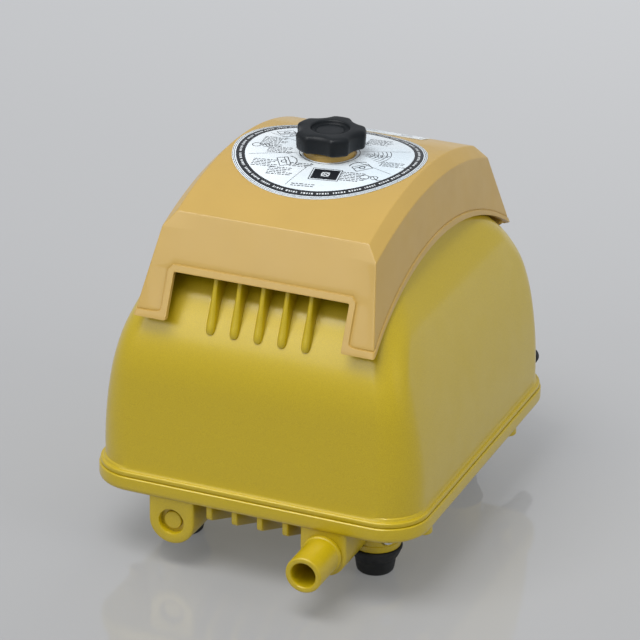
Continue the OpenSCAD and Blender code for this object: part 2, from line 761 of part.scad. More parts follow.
// insulated leads from the terminals to the two coils
lead_right = [
    [58, 61.6, 42], [58, 61.6, 60], [59, 58, 80], [58, 48, 100], [50, 30, 116], [36, 14, 123], [24, 3, 123],
    [20, 0, 119.5]
];
lead_left = [
    [64, 61.6, 42], [64, 61.6, 60], [64, 58, 78], [64, 51, 100], [48, 36, 120], [24, 24, 128], [0, 14, 129],
    [-14, 4, 124], [-20, 0, 119.5]
];
module lead(route) {
    last = len(route) - 1;
    loft([for (i = [0:last])
        let (t = route[min(i + 1, last)] - route[max(i - 1, 0)], u = cross(t, [0.3, 1, 0.2]),
            a = u / norm(u), w = cross(a, t / norm(t)))
            [for (k = [0:7]) route[i] + 1.2 * (a * cos(45 * k) + w * sin(45 * k))]]);
}
module coil_leads() {
    color([0.70, 0.10, 0.10]) lead(lead_right);
    color([0.15, 0.25, 0.65]) lead(lead_left);
}

base_tray();
housing();
casing_gasket();
outlet_nozzle();
foot([-1, -1]);  // foot_front_left
foot([1, -1]);  // foot_front_right
foot([-1, 1]);  // foot_rear_left
foot([1, 1]);  // foot_rear_right
foot_screws();
base_screws();
top_cover();
round_label();
rear_label();
knob();
knob_insert();
knob_washer();
knob_stud();
air_filter();
filter_frame();
air_tank();
tank_lid();
tank_gasket();
outlet_elbow();
vibration_mounts();
mount_screws();
motor_bracket();
core();  // core_right
mirror([1, 0, 0]) core();  // core_left
bobbin();  // bobbin_right
mirror([1, 0, 0]) bobbin();  // bobbin_left
coil();  // coil_right
mirror([1, 0, 0]) coil();  // coil_left
core_bolts();
armature();
armature_magnets();
hub_plates();
hub_nuts();
mirror([0, 1, 0]) diaphragm();  // diaphragm_front
diaphragm();  // diaphragm_rear
mirror([0, 1, 0]) diaphragm_seat();  // diaphragm_seat_front
diaphragm_seat();  // diaphragm_seat_rear
mirror([0, 1, 0]) pump_head();  // pump_head_front
pump_head();  // pump_head_rear
umbrella_valves();
mirror([0, 1, 0]) head_gasket();  // head_gasket_front
head_gasket();  // head_gasket_rear
mirror([0, 1, 0]) head_cover();  // head_cover_front
head_cover();  // head_cover_rear
head_screws();
mirror([0, 1, 0]) head_hose();  // head_hose_front
head_hose();  // head_hose_rear
hose_clamps();
terminal_block();
terminal_screws();
mains_lead();
cable_gland();
coil_leads();
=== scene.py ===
"""Looks of the air pump: meshes, materials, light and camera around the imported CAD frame.
Sizes in the mesh code are millimetres in the CAD frame; build() turns them into metres."""

import math

import bmesh
import bpy
import numpy as np
from mathutils import Matrix, Vector


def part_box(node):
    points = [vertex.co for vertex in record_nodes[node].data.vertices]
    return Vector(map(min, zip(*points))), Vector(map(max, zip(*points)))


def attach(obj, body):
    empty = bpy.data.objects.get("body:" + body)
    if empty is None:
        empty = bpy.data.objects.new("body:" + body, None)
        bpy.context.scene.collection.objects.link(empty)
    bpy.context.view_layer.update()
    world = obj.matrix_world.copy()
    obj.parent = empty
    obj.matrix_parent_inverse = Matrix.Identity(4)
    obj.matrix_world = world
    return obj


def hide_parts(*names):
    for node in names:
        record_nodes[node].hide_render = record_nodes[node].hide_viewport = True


MM = 0.001
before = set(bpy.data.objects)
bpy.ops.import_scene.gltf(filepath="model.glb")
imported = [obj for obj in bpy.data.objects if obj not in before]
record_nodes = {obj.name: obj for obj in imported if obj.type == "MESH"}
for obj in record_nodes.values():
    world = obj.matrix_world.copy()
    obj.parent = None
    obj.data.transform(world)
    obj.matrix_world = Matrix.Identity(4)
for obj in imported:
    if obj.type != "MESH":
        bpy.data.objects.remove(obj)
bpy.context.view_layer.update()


def low(node):
    """Lowest corner of a CAD node, in mm."""
    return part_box(node)[0] / MM


def high(node):
    """Highest corner of a CAD node, in mm."""
    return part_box(node)[1] / MM


# ---------------------------------------------------------------- sizes from the frame, in mm
GASKET_INSET = 1.8
RIM_HX, RIM_HY = high("base_tray")[0], -low("casing_gasket")[1] + GASKET_INSET
SEAM_Z = low("casing_gasket")[2]
FOOT_TOP_Z = 14.0
RIM_Z = SEAM_Z - 7
RIM_R = 22.0
FLANGE_Z = high("casing_gasket")[2]
FLANGE_TOP_Z = RIM_Z + 10.3
BODY_HX, BODY_HY = RIM_HX - 2.65, RIM_HY - 2.6  # half sizes of the dome's foot, inside the flange
WALL = 2.6
DOME_TOP_Z = 163.0
TUCK_Z = 126.0  # from here up the dome draws in under the cover
FOOT = Vector((50.0, 56.0))
FOOT_SCREW_ANGLE, FOOT_SCREW_Z = math.radians(50), 22
SCREW = Vector((74.5, 58.0))  # casing screws, one in each corner
MOUNT = Vector((50.0, 38.0))  # posts of the motor's vibration mounts
GLAND_HOLE_R, GLAND_PLACE = 5.0, (64.5, 103, 41.6)
PORT_X, PORT_Z = 39.0, 24.3
PORT_FRONT_Y = -RIM_HY + 1.5
NOZZLE_TIP_Y = low("outlet_nozzle")[1]
COLLAR_TOP_Z = low("knob_washer")[2]
KNOB_Z, KNOB_TOP_Z = low("knob")[2], high("knob")[2]
LABEL_R = high("round_label")[0]


# ---------------------------------------------------------------- materials
class Shader:
    """A material under construction: short calls add nodes and wire them to one Principled BSDF."""

    def __init__(self, name, colour, rough, **inputs):
        self.material = bpy.data.materials.new(name)
        self.material.use_nodes = True
        self.tree = self.material.node_tree
        self.bsdf = self.tree.nodes["Principled BSDF"]
        self.place = self.add("ShaderNodeTexCoord").outputs["Object"]
        self.set(Base_Color=(*colour, 1), Roughness=rough, **inputs)

    def add(self, kind, **settings):
        node = self.tree.nodes.new(kind)
        for key, value in settings.items():
            setattr(node, key, value)
        return node

    def set(self, **inputs):
        for key, value in inputs.items():
            self.bsdf.inputs[key.replace("_", " ")].default_value = value

    def link(self, a, b):
        self.tree.links.new(a, b)

    def noise(self, scale, detail=4.0, stretch=(1, 1, 1)):
        """Noise of about that many cells a metre, in object space."""
        mapping = self.add("ShaderNodeMapping")
        mapping.inputs["Scale"].default_value = stretch
        self.link(self.place, mapping.inputs["Vector"])
        node = self.add("ShaderNodeTexNoise")
        node.inputs["Scale"].default_value = scale
        node.inputs["Detail"].default_value = detail
        self.link(mapping.outputs["Vector"], node.inputs["Vector"])
        return node.outputs["Fac"]

    def cells(self, scale, feature="F1"):
        node = self.add("ShaderNodeTexVoronoi", feature=feature)
        node.inputs["Scale"].default_value = scale
        self.link(self.place, node.inputs["Vector"])
        return node.outputs["Distance"]

    def bands(self, scale, direction):
        node = self.add("ShaderNodeTexWave", bands_direction=direction)
        node.inputs["Scale"].default_value = scale
        node.inputs["Distortion"].default_value = 0.6
        self.link(self.place, node.inputs["Vector"])
        return node.outputs["Fac"]

    def spread(self, fac, low_value, high_value, start=0.3, end=0.7):
        """Maps a 0 to 1 pattern onto a range of values."""
        node = self.add("ShaderNodeMapRange")
        limits = {"From Min": start, "From Max": end, "To Min": low_value, "To Max": high_value}
        for key, value in limits.items():
            node.inputs[key].default_value = value
        self.link(fac, node.inputs["Value"])
        return node.outputs["Result"]

    def tint(self, fac, first, second):
        """Base colour that runs from first to second with the pattern."""
        node = self.add("ShaderNodeMix", data_type="RGBA")
        node.inputs["A"].default_value = (*first, 1)
        node.inputs["B"].default_value = (*second, 1)
        self.link(fac, node.inputs["Factor"])
        self.link(node.outputs["Result"], self.bsdf.inputs["Base Color"])

    def rough(self, fac, low_value, high_value):
        self.link(self.spread(fac, low_value, high_value), self.bsdf.inputs["Roughness"])

    def bump(self, fac, height_mm, strength=1.0):
        """Bump from a pattern, height in mm. A second call lies over the first."""
        node = self.add("ShaderNodeBump")
        node.inputs["Strength"].default_value = strength
        node.inputs["Distance"].default_value = height_mm * MM
        self.link(fac, node.inputs["Height"])
        before = self.bsdf.inputs["Normal"].links
        if before:
            self.link(before[0].from_socket, node.inputs["Normal"])
        self.link(node.outputs["Normal"], self.bsdf.inputs["Normal"])
        return self


def painted_gold():
    """Satin pearl paint over cast metal: fine flake, faint orange peel, a thin clear coat."""
    s = Shader("gold_paint", (0.40, 0.30, 0.012), 0.45, Metallic=0.1, Coat_Weight=0.6, Coat_Roughness=0.2)
    flake = s.noise(2600, 2)
    s.tint(s.spread(flake, 0, 1, 0.35, 0.65), (0.455, 0.328, 0.0003), (0.53, 0.387, 0.0008))
    s.rough(s.noise(60, 5), 0.38, 0.46)
    s.bump(s.noise(900, 3), 0.006)
    s.bump(s.noise(70, 2), 0.05, 0.5)
    return s.material


def moulded(name, colour, rough, darker=0.88, grain=1500, grain_mm=0.008, **inputs):
    """Moulded plastic: slight cloudiness, fine grain and uneven gloss."""
    s = Shader(name, colour, rough, **inputs)
    s.tint(s.spread(s.noise(35, 5), 0, 1), [c * darker for c in colour], colour)
    s.rough(s.noise(90, 4), rough * 0.88, rough * 1.12)
    s.bump(s.noise(grain, 3), grain_mm)
    return s.material


def rubber(name, colour):
    s = Shader(name, colour, 0.62, Specular_IOR_Level=0.35)
    s.tint(s.spread(s.noise(120, 6), 0, 1), [c * 0.7 for c in colour], [c * 1.5 for c in colour])
    s.rough(s.noise(300, 4), 0.5, 0.72)
    s.bump(s.noise(1800, 4), 0.03)
    return s.material


def metal(name, colour, rough, stretch=(1, 1, 1)):
    """Bare or plated metal with fine scratches and stains."""
    s = Shader(name, colour, rough, Metallic=1.0)
    s.tint(s.spread(s.noise(70, 6), 0, 1), [c * 0.8 for c in colour], colour)
    s.rough(s.noise(400, 4, stretch), rough * 0.75, rough * 1.3)
    s.bump(s.noise(1500, 3, stretch), 0.008)
    return s.material


def laminations():
    s = Shader("lamination_steel", (0.30, 0.31, 0.33), 0.42, Metallic=0.9)
    sheets = s.bands(330, "Z")
    s.tint(sheets, (0.10, 0.10, 0.11), (0.36, 0.37, 0.39))
    s.bump(sheets, 0.08)
    return s.material


def winding():
    s = Shader("copper_winding", (0.60, 0.22, 0.09), 0.3, Metallic=0.85, Coat_Weight=0.5)
    wires = s.bands(330, "X")
    # turns: real relief in the bump, and painted shade that darkens the colour in the grooves between the
    # turns
    s.tint(wires, (0.20, 0.06, 0.02), (0.72, 0.28, 0.11))
    s.bump(wires, 0.25)
    return s.material


def foam():
    s = Shader("filter_foam", (0.035, 0.036, 0.04), 0.95)
    pores = s.cells(700)
    # pores: real pits in the bump, and painted shade that darkens the colour at their centres
    s.tint(s.spread(pores, 0, 1, 0.1, 0.6), (0.006, 0.006, 0.007), (0.085, 0.088, 0.095))
    s.bump(pores, 0.9)
    return s.material


def label_paper():
    """Printed film with a faint blue cast in soft patches."""
    s = Shader("label_film", (0.80, 0.85, 0.88), 0.28, Coat_Weight=0.4, Coat_Roughness=0.1)
    s.tint(s.spread(s.noise(24, 2), 0, 1), (0.64, 0.73, 0.79), (0.82, 0.86, 0.88))
    s.rough(s.noise(200, 3), 0.24, 0.34)
    return s.material


def leads():
    """Two insulated leads: red to the right coil, blue to the left one."""
    s = Shader("lead_insulation", (0.5, 0.05, 0.05), 0.4)
    side = s.add("ShaderNodeSeparateXYZ")
    s.link(s.place, side.inputs["Vector"])
    s.tint(s.spread(side.outputs["X"], 0, 1, 0.058, 0.060), (0.42, 0.03, 0.03), (0.05, 0.12, 0.45))
    s.bump(s.noise(1500, 3), 0.01)
    return s.material


SLOTS = {
    "gold_paint": painted_gold(),
    "tan_plastic": moulded(
        "tan_plastic", (0.49, 0.315, 0.072), 0.40, 0.95, grain_mm=0.003, Coat_Weight=0.25
    ),
    "black_plastic": moulded(
        "black_plastic", (0.006, 0.008, 0.010), 0.44, grain_mm=0.02, Specular_IOR_Level=0.28
    ),
    "black_rubber": rubber("black_rubber", (0.014, 0.015, 0.016)),
    "label_film": label_paper(),
    "zinc_steel": metal("zinc_steel", (0.72, 0.71, 0.66), 0.26),
    "brass": metal("brass", (0.78, 0.56, 0.22), 0.25),
    "filter_foam": foam(),
    "grey_plastic": moulded("grey_plastic", (0.09, 0.095, 0.105), 0.45, grain_mm=0.02),
    "white_nylon": moulded("white_nylon", (0.78, 0.77, 0.71), 0.42, 0.93, Subsurface_Weight=0.1),
    "aluminium": metal("aluminium", (0.76, 0.77, 0.79), 0.33, (1, 12, 1)),
    "lamination_steel": laminations(),
    "copper_winding": winding(),
    "magnet": metal("magnet", (0.20, 0.205, 0.22), 0.4),
    "valve_rubber": rubber("valve_rubber", (0.26, 0.06, 0.04)),
    "lead_insulation": leads(),
}
INK = moulded("label_ink", (0.010, 0.012, 0.016), 0.35, grain_mm=0.002)
PALE_INK = moulded("label_pale_ink", (0.70, 0.74, 0.76), 0.35, 0.95, grain_mm=0.002)


# ---------------------------------------------------------------- mesh helpers
def build(name, points, faces):
    """Object from points in mm, with doubled points merged and faces turned outwards."""
    mesh = bpy.data.meshes.new(name)
    mesh.from_pydata([Vector(p) * MM for p in points], [], faces)
    work = bmesh.new()
    work.from_mesh(mesh)
    bmesh.ops.remove_doubles(work, verts=work.verts, dist=0.004 * MM)
    bmesh.ops.recalc_face_normals(work, faces=work.faces)
    work.to_mesh(mesh)
    work.free()
    piece = bpy.data.objects.new(name, mesh)
    bpy.context.scene.collection.objects.link(piece)
    return piece


def bake(piece):
    """Applies the piece's modifiers to its mesh."""
    bpy.context.view_layer.update()
    done = piece.evaluated_get(bpy.context.evaluated_depsgraph_get())
    mesh = bpy.data.meshes.new_from_object(done)
    piece.modifiers.clear()
    piece.data = mesh
    return piece


def combine(piece, other, operation):
    """Boolean of two closed pieces; the other one is used up."""
    cut = piece.modifiers.new("combine", "BOOLEAN")
    cut.object, cut.operation, cut.solver = other, operation, "EXACT"
    bake(piece)
    bpy.data.objects.remove(other)
    return piece


def join(piece, *others):
    """Adds other pieces' meshes to one piece."""
    work = bmesh.new()
    for part in (piece, *others):
        work.from_mesh(part.data)
    work.to_mesh(piece.data)
    work.free()
    for part in others:
        bpy.data.objects.remove(part)
    return piece


def dress(piece, slot, body, *stands_for, sharp=32):
    """Material, shading, body and the CAD nodes that the piece stands for."""
    piece.data.materials.clear()
    piece.data.materials.append(SLOTS[slot])
    piece.data.polygons.foreach_set("material_index", [0] * len(piece.data.polygons))
    piece.data.shade_smooth()
    piece.data.set_sharp_from_angle(angle=math.radians(sharp))
    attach(piece, body)
    if stands_for:
        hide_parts(*stands_for)
    return piece


def loft(rings, closed_ends=True):
    """Points and faces through rings of equal count. A closed end is one face."""
    count = len(rings[0])
    points = [p for ring in rings for p in ring]
    faces = []
    for k in range(len(rings) - 1):
        for i in range(count):
            j = (i + 1) % count
            faces.append((k * count + i, k * count + j, (k + 1) * count + j, (k + 1) * count + i))
    if closed_ends:
        faces.append(tuple(range(count)))
        faces.append(tuple(reversed(range(len(points) - count, len(points)))))
    return points, faces


def rounded_ring(hx, hy, r, z, steps=12, cuts=10):
    """Plan outline of a rounded rectangle, its sides cut up. The radius r may be (along x, along y)."""
    rx, ry = r if isinstance(r, tuple) else (r, r)
    ring = []
    turns = [(1, 1, 0), (-1, 1, 90), (-1, -1, 180), (1, -1, 270)]
    for index, (sx, sy, start) in enumerate(turns):
        centre = Vector((sx * (hx - rx), sy * (hy - ry)))
        for i in range(steps + 1):
            a = math.radians(start + 90 * i / steps)
            ring.append((centre.x + rx * math.cos(a), centre.y + ry * math.sin(a), z))
        nx, ny, begin = turns[(index + 1) % 4]
        after = math.radians(begin)
        goal = (nx * (hx - rx) + rx * math.cos(after), ny * (hy - ry) + ry * math.sin(after))
        here = ring[-1]
        for i in range(1, cuts):
            t = i / cuts
            ring.append((here[0] + (goal[0] - here[0]) * t, here[1] + (goal[1] - here[1]) * t, z))
    return ring


def lathe(name, profile, place=(0, 0, 0), axis="Z", sides=64):
    """Solid of revolution from (radius, height) pairs. Axis -Y turns the profile's height to -Y."""
    angles = [2 * math.pi * i / sides for i in range(sides)]
    rings = [[(r * math.cos(a), r * math.sin(a), h) for a in angles] for r, h in profile]
    turn = {"Z": Matrix.Identity(3), "-Y": Matrix.Rotation(math.radians(90), 3, "X")}[axis]
    points, faces = loft(rings)
    return build(name, [turn @ Vector(p) + Vector(place) for p in points], faces)


def fillet(r, h, radius, outward=1, steps=5):
    """Quarter round on a lathe profile: from the side at (r, h - radius) to the top at (r - radius, h)."""
    return [
        (r - outward * radius * (1 - math.cos(a)), h - radius * (1 - math.sin(a)))
        for a in (math.pi / 2 * i / steps for i in range(steps + 1))
    ]


def block(name, x0, x1, y0, y1, z0, z1):
    points = [(x, y, z) for x in (x0, x1) for y in (y0, y1) for z in (z0, z1)]
    faces = [(0, 1, 3, 2), (4, 6, 7, 5), (0, 4, 5, 1), (2, 3, 7, 6), (0, 2, 6, 4), (1, 5, 7, 3)]
    return build(name, points, faces)


def round_edges(piece, width, segments=3, angle=30):
    """Bevels the piece's sharp edges."""
    bevel = piece.modifiers.new("round", "BEVEL")
    bevel.width, bevel.segments = width * MM, segments
    bevel.limit_method, bevel.angle_limit = "ANGLE", math.radians(angle)
    return bake(piece)


def extrude_x(name, outline, x, width):
    """Prism of a YZ outline, centred on x."""
    rings = [[(x + s * width / 2, y, z) for y, z in outline] for s in (-1, 1)]
    return build(name, *loft(rings))


def corners():
    """Signs of x and y in the four corners."""
    return [(sx, sy) for sx in (-1, 1) for sy in (-1, 1)]


def mirror_y(piece):
    """The piece and its mirror image across y = 0, as one."""
    twin = bpy.data.objects.new(piece.name + "_twin", piece.data.copy())
    bpy.context.scene.collection.objects.link(twin)
    twin.data.transform(Matrix.Scale(-1, 4, (0, 1, 0)))
    twin.data.flip_normals()
    return join(piece, twin)


# ---------------------------------------------------------------- housing
def ease(t):
    """Smooth step from 0 to 1."""
    u = min(max(t, 0), 1)
    return u * u * (3 - 2 * u)


def dome_hx(z):
    """Half width: it tucks in at the top, so that the walls pass inside the cover."""
    return BODY_HX - 0.0024 * max(z - 50, 0) ** 2 - 5.2 * ease((z - TUCK_Z) / 22)


def dome_hy(z):
    """Half depth: a nearly straight wall that arches over towards the top."""
    rise = max(z - 92, 0) / (DOME_TOP_Z - 92)
    return (BODY_HY - 0.055 * (z - FLANGE_TOP_Z + 0.3)) * math.sqrt(max(1 - rise**2.2, 0.004))


def dome_rx(z):
    """Corner radius along x."""
    return RIM_R - 0.1 * (z - RIM_Z)


def dome_ry(z):
    """Corner radius along y, longer near the top."""
    return min(dome_rx(z) * (1 + 0.9 * ease((z - 110) / 35)), dome_hy(z) - 0.5)


def dome_rings(inset, z0, top, levels=44):
    """Rings up the dome, closer together towards its top. An inset gives the inner surface."""
    rings = []
    for i in range(levels + 1):
        z = z0 + (top - inset - z0) * math.sin(math.pi / 2 * i / levels)
        u = z + inset * (z - z0) / (top - z0)
        corner = (max(dome_rx(u) - inset, 1), max(dome_ry(u) - inset, 1))
        rings.append(rounded_ring(dome_hx(u) - inset, dome_hy(u) - inset, corner, z))
    return rings


def flange_rings():
    """Rounded flange on the seam, then a small fillet up to the wall."""
    steps = [(1.2, FLANGE_Z), (0.95, FLANGE_Z + 0.1), (0.8, FLANGE_Z + 0.4), (0.7, FLANGE_TOP_Z - 0.7)]
    steps += [(0.85, FLANGE_TOP_Z - 0.3), (1.15, FLANGE_TOP_Z - 0.06), (1.6, FLANGE_TOP_Z)]
    steps += [(2.1, FLANGE_TOP_Z + 0.1), (2.4, FLANGE_TOP_Z + 0.45), (2.62, FLANGE_TOP_Z + 1.2)]
    return [rounded_ring(RIM_HX - d, RIM_HY - d, RIM_R - d, z) for d, z in steps]


def fin(x):
    """One intake fin: thin at the top, with a wider rounded foot that melts into the wall."""
    top_z, length, steps = 150.5, 31.5, 24
    edge_z = [119, 120.2, 121.5, 123.5, 128, 146, 150, 151]
    edge_y = [83.6, 85.2, 85.6, 85.2, 83.4, 77.4, 76.0, 75.6]
    rings = []
    for i in range(steps + 1):
        z = top_z - length * (i / steps) ** 0.9
        half = 1.2 + ease((141 - z) / 17)
        edge = np.interp(z, edge_z, edge_y)
        half *= math.sqrt(max(1 - max((122 - z) / 3.1, 0) ** 2, 0.02))
        back = dome_hy(z) - 3
        nose = [math.radians(180 - 180 * k / 10) for k in range(11)]
        rings.append(
            [(x - half, -back, z)]
            + [(x + half * math.cos(a), -edge + half * (1 - math.sin(a)), z) for a in nose]
            + [(x + half, -back, z)]
        )
    return build("fin", *loft(rings))


def gland_hole():
    return lathe("gland_hole", [(GLAND_HOLE_R, 0), (GLAND_HOLE_R, 20)], GLAND_PLACE, "-Y", 32)


def housing():
    """Dome with the filter's well and its slots, the stud's post, the fins and the inner screw bosses."""
    well_hx, well_hy, well_z, above = 36, 34, 146, 170
    floor_t, slot_hx, slot_hy = 2, 28, 2
    shell = build("housing_shell", *loft(flange_rings() + dome_rings(0, FLANGE_TOP_Z + 1.6, DOME_TOP_Z)))
    inside = build("inside", *loft(dome_rings(WALL, FLANGE_Z - 1, DOME_TOP_Z, 24)))
    keep_hx, keep_hy = well_hx + floor_t, well_hy + floor_t
    keep = block("keep", -keep_hx, keep_hx, -keep_hy, keep_hy, well_z - floor_t, above)
    combine(inside, keep, "DIFFERENCE")
    combine(shell, inside, "DIFFERENCE")
    well = block("well", -well_hx, well_hx, -well_hy, well_hy, well_z, above)
    combine(shell, round_edges(well, 1.2), "DIFFERENCE")
    for y in (-27, -20, -13, 13, 20, 27):
        slot = block("slot", -slot_hx, slot_hx, y - slot_hy, y + slot_hy, well_z - 4, well_z + 2)
        combine(shell, slot, "DIFFERENCE")
    post = [(3.0, 144.5), (7.6, 144.5), (7.6, 146.2), (7.0, 147.2)] + fillet(7.0, 178, 0.8) + [(3.0, 178)]
    combine(shell, lathe("post", post + [(3.0, 144.5)]), "UNION")
    combine(shell, gland_hole(), "DIFFERENCE")
    join(shell, mirror_y(join(*[fin(12 * i) for i in range(-2, 3)])))
    boss = [(1.6, FLANGE_Z), (4.6, FLANGE_Z), (4.6, 64), (1.6, 64), (1.6, FLANGE_Z)]
    for sx, sy in corners():
        join(shell, lathe("boss", boss, (sx * SCREW.x, sy * SCREW.y, 0), sides=32))
    return dress(shell, "gold_paint", "casing", "housing")


# ---------------------------------------------------------------- base tray
def rim():
    """Tray with rounded rim edges, lofted from the underside round to its floor."""
    wall = 5.7
    steps = [(2.6, RIM_Z), (1.3, RIM_Z + 0.2), (0.5, RIM_Z + 0.8), (0.05, RIM_Z + 1.8), (0, RIM_Z + 2.8)]
    steps += [(0, SEAM_Z - 0.3), (0.1, SEAM_Z + 0.2), (0.4, SEAM_Z + 0.5), (0.8, SEAM_Z + 0.62)]
    steps += [(1.65, SEAM_Z + 0.62), (1.65, SEAM_Z), (wall, SEAM_Z), (wall, RIM_Z + 2.5)]
    rings = [rounded_ring(RIM_HX - d, RIM_HY - d, RIM_R - d, z) for d, z in steps]
    return build("base_rim", *loft(rings))


def d_ring(x, r, y, sides=64):
    """D outline about the port axis: half a circle below, straight up into the tray above."""
    ring = []
    for i in range(sides):
        a = 2 * math.pi * i / sides
        up = max(math.sin(a), 0)
        square = max(abs(math.cos(a)), up, 1e-6)
        reach_x = r * math.cos(a) / (square if up > 0 else 1)
        reach_z = (RIM_Z + 1 - PORT_Z) * up / square if up > 0 else r * math.sin(a)
        ring.append((x + reach_x, y, PORT_Z + reach_z))
    return ring


def circle_ring(x, r, y, sides=64):
    angles = [2 * math.pi * i / sides for i in range(sides)]
    return [(x + r * math.cos(a), y, PORT_Z + r * math.sin(a)) for a in angles]


def port(name, x, bore):
    """Boss under the rim; bore holds (radius, depth) steps from its face inwards."""
    face, radius, back_y = PORT_FRONT_Y, 11.6, -68.6
    front_edge = [(0, 1.3), (0.12, 0.7), (0.45, 0.25), (1.0, 0)]
    rings = [d_ring(x, radius, back_y)] + [d_ring(x, radius - d, face + e) for d, e in front_edge]
    rings += [circle_ring(x, r, face + depth) for r, depth in bore]
    return build(name, *loft(rings))


def rib(x):
    """Rib under the front edge, deeper towards the back."""
    face, low_front, low_back = PORT_FRONT_Y + 0.5, 28.4, 19.5
    outline = [(face, RIM_Z + 1), (face, low_front + 2), (face + 0.7, low_front + 0.6)]
    outline += [(face + 1.8, low_front), (face + 24, low_back), (face + 26, low_back), (face + 31, RIM_Z + 1)]
    return round_edges(extrude_x("rib", outline, x, 3), 0.6)


def foot_boss(sx, sy):
    """Round boss that holds a foot, with a fine groove round it and a seat for the foot's screw."""
    groove = [(12.2, 17.2), (11.85, 17.45), (11.85, 17.95), (12.2, 18.2)]
    profile = [(5, FOOT_TOP_Z), (11.6, FOOT_TOP_Z), (12.0, 14.2), (12.2, 14.7)] + groove
    profile += [(12.2, RIM_Z - 1.2), (12.5, RIM_Z - 0.5), (13.2, RIM_Z + 0.1)]
    profile += [(5, RIM_Z + 0.4), (5, FOOT_TOP_Z)]
    boss = lathe("foot_boss", profile, (sx * FOOT.x, sy * FOOT.y, 0), sides=72)
    turn = math.atan2(sy * math.cos(FOOT_SCREW_ANGLE), sx * math.sin(FOOT_SCREW_ANGLE))
    seat = lathe("seat", [(4.15, 11.3), (4.15, 16)], sides=32)
    aim = Matrix.Rotation(turn, 4, "Z") @ Matrix.Rotation(math.radians(90), 4, "Y")
    place = Vector((sx * FOOT.x, sy * FOOT.y, FOOT_SCREW_Z)) * MM
    seat.data.transform(Matrix.Translation(place) @ aim)
    return combine(boss, seat, "DIFFERENCE")


def base_tray():
    """Tray with its air slots, the two ports, the ribs, and the bosses and posts for feet and screws."""
    tray = rim()
    for x in (-13, 0, 13):
        combine(tray, block("vent", x - 4, x + 4, -89, -77, RIM_Z - 1, RIM_Z + 4), "DIFFERENCE")
    combine(tray, gland_hole(), "DIFFERENCE")
    lug = [(7.0, 0), (6.55, 0.15), (6.3, 0.6), (6.3, 3.5), (4.6, 3.5), (4.5, 2.4), (4.2, 2.05), (3.6, 2.0)]
    socket = [(8.0, 0), (8.0, 7.5), (6.0, 7.5), (6.0, 19.5)]
    parts = [port("lug", -PORT_X, lug), port("outlet_port", PORT_X, socket)]
    parts += [rib(x) for x in (-19.5, -6.5, 6.5, 19.5)]
    screw = [(3.5, 30), (3.5, 26), (4.1, 26), (4.5, 26.4), (4.5, RIM_Z + 0.4)]
    post = [(2, 48), (5, RIM_Z + 2), (5, 57), (2, 57)]
    for sx, sy in corners():
        parts.append(foot_boss(sx, sy))
        parts.append(lathe("screw_boss", screw, (sx * SCREW.x, sy * SCREW.y, 0), sides=40))
        parts.append(lathe("mount_post", post, (sx * MOUNT.x, sy * MOUNT.y, 0), sides=32))
    return dress(join(tray, *parts), "gold_paint", "casing", "base_tray")


def nozzle():
    """Hose spigot with a rounded lip and a collar where it meets the casing."""
    tip = PORT_FRONT_Y - NOZZLE_TIP_Y
    plug = [(6, -7.4), (8, -7.4), (8, 0)]
    collar = [(9.2, 0), (9.75, 0.2), (9.9, 0.7), (9.9, 1.5), (9.75, 2.0), (9.4, 2.2), (9.15, 2.4)]
    tube = [(9.0, 2.9), (9.0, tip - 1.0), (8.85, tip - 0.45), (8.5, tip - 0.12), (8.0, tip)]
    bore = [(6.9, tip), (6.45, tip - 0.15), (6.1, tip - 0.6), (6.0, tip - 1.2), (6, -7.4)]
    profile = plug + collar + tube + bore
    piece = lathe("outlet_spigot", profile, (PORT_X, PORT_FRONT_Y, PORT_Z), "-Y", 72)
    return dress(piece, "gold_paint", "casing", "outlet_nozzle")


def feet():
    """Rubber feet with a flared collar, and rings pressed into the sole."""
    sole = [(0, 0.5), (3.2, 0.5), (3.6, 0.1), (4.6, 0.1), (5.0, 0.5), (5.6, 0.5), (6.0, 0.0), (7.4, 0)]
    side = [(8.3, 0.25), (8.9, 0.9), (9.2, 2.0), (9.6, 4.6), (9.95, 7.2), (10.3, 7.9)]
    collar = [(11.0, 8.5), (11.7, 9.9), (12.5, 11.9), (12.8, 12.5), (12.9, 13.0), (12.8, 13.6)]
    top = [(12.5, 13.9), (12.0, 14.0), (5, 14), (5, 25.9)]
    for sy, end in ((-1, "front"), (1, "rear")):
        for sx, side_name in ((-1, "left"), (1, "right")):
            place = (sx * FOOT.x, sy * FOOT.y, 0)
            piece = lathe(f"rubber_foot_{end}_{side_name}", sole + side + collar + top, place, sides=72)
            dress(piece, "black_rubber", "casing", f"foot_{end}_{side_name}", sharp=60)


# ---------------------------------------------------------------- top cover
# corner points of its outer skin: end of the top panel, of the bevel, and tip of a leg
CREASE = Vector((48.0, 68.0, 172.0))
BEVEL = Vector((53.6, 73.0, 165.0))
LEG = Vector((60.3, 90.0, 125.5))
COVER_TOP_Z, BEVEL_TOP_Z, SIDE_TOP_Z = 184.5, 178.7, 151.6
OPENING_HX, OPENING_Z = 44.0, 146.5
LIP = 3.6  # width of the raised lip along the lower edge and round the opening
TIGHT = 1.1  # distance of the support lines that keep the opening's corners small


def arc_height(y, half, top, ends):
    """Height at y of the arc that is top high in the middle and ends high at half either way."""
    rise = top - ends
    radius = (half * half + rise * rise) / (2 * rise)
    return top - radius + math.sqrt(radius * radius - y * y)


def columns(edge):
    """Places across the cover, out to its edge, with a support line beside the edge."""
    room = edge - OPENING_HX
    inner = [0, 12, 24, 34, OPENING_HX - TIGHT, OPENING_HX, OPENING_HX + min(TIGHT, 0.2 * room)]
    return inner + [OPENING_HX + min(LIP, 0.5 * room), edge - min(0.8, 0.25 * room), edge]


def panel_point(z, edge, x):
    """Point on the end panel: flat across, bending out to the corner line at its edge."""
    straight = CREASE.y + (CREASE.z - z) * (LEG.y - CREASE.y) / (CREASE.z - LEG.z)
    corner = np.interp(z, [LEG.z, BEVEL.z, CREASE.z], [LEG.y, BEVEL.y, CREASE.y])
    return (x, -(straight + (corner - straight) * (x / edge) ** 6), z)


